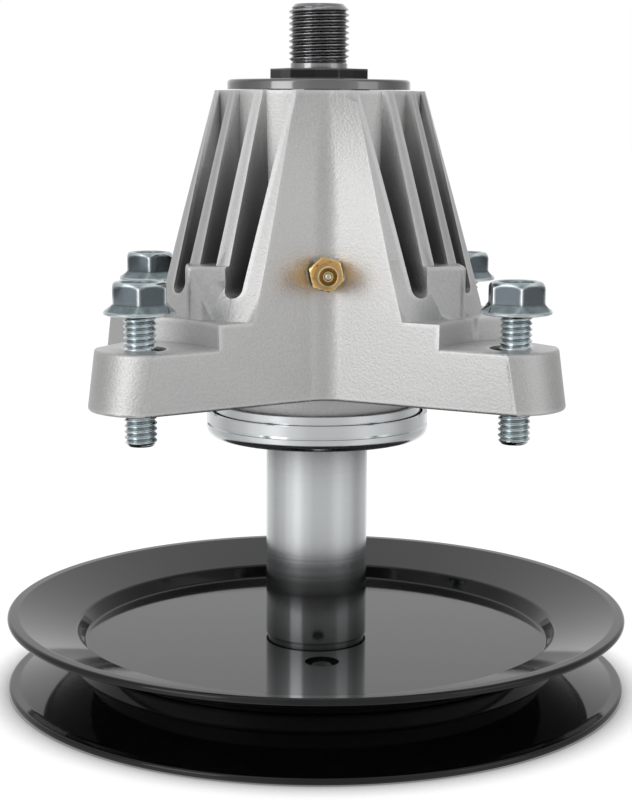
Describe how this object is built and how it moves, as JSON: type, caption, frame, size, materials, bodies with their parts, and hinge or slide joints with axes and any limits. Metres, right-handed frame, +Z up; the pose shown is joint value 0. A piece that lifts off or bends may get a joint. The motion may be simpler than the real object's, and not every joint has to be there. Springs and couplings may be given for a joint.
{
  "type": "mower deck spindle",
  "caption": "Mower deck spindle: ribbed cast housing with bearings and shaft, belt pulley below, star washer and blade thread on top, part-driven deck screws.",
  "frame": {"origin": "on the spindle axis, at the bottom of the pulley's lower rim", "axes": "+Z up the shaft to the blade thread; -Y is the side with the grease fitting; +X to the right when the fitting is in front"},
  "size_m": [0.165, 0.165, 0.1798],
  "materials": {
    "cast_aluminium": "satin",
    "zinc_plate": "satin",
    "turned_steel": "satin",
    "shaft_steel": "satin",
    "bearing_steel": "polished",
    "black_oxide": "matte",
    "black_paint": "gloss",
    "brass": "satin",
    "seal_rubber": "matte"
  },
  "bodies": {
    "housing": {"spindle_housing": "cast_aluminium", "grease_fitting_body": "brass", "deck_screws": "zinc_plate", "blade_bearing_outer_race": "bearing_steel", "pulley_bearing_outer_race": "bearing_steel", "blade_bearing_seals": "seal_rubber", "pulley_bearing_seals": "seal_rubber"},
    "rotor": {"spindle_shaft": "shaft_steel", "blade_star": "black_oxide", "dust_washer": "turned_steel", "blade_bearing_inner_race": "bearing_steel", "pulley_bearing_inner_race": "bearing_steel", "inner_spacer_tube": "turned_steel", "bearing_shim": "turned_steel", "dust_cup_inner": "zinc_plate", "dust_cup_outer": "zinc_plate", "pulley_sleeve": "zinc_plate", "pulley_upper_half": "black_paint", "pulley_lower_half": "black_paint", "pulley_nut": "zinc_plate"},
    "blade_rollers": {"blade_bearing_cage": "brass", "blade_bearing_balls": "bearing_steel"},
    "pulley_rollers": {"pulley_bearing_cage": "brass", "pulley_bearing_balls": "bearing_steel"},
    "check_ball": {"grease_fitting_ball": "bearing_steel", "grease_fitting_spring": "bearing_steel"}
  },
  "joints": [
    {"name": "spindle_spin", "type": "hinge", "parent": "housing", "child": "rotor", "pos_m": [0, 0, 0.12], "axis": [0, 0, 1], "continuous": true},
    {"name": "blade_cage_spin", "type": "hinge", "parent": "housing", "child": "blade_rollers", "pos_m": [0, 0, 0.1489], "axis": [0, 0, 1], "continuous": true},
    {"name": "pulley_cage_spin", "type": "hinge", "parent": "housing", "child": "pulley_rollers", "pos_m": [0, 0, 0.0785], "axis": [0, 0, 1], "continuous": true},
    {"name": "check_ball_slide", "type": "slide", "parent": "housing", "child": "check_ball", "axis": [0, 1, 0], "range_m": [0, 0.0006], "stiffness_N_per_m": 400, "springref_m": -0.001}
  ],
  "couplings": [
    {"joint": "blade_cage_spin", "follows": "spindle_spin", "ratio": 0.3843},
    {"joint": "pulley_cage_spin", "follows": "spindle_spin", "ratio": 0.3843}
  ]
}
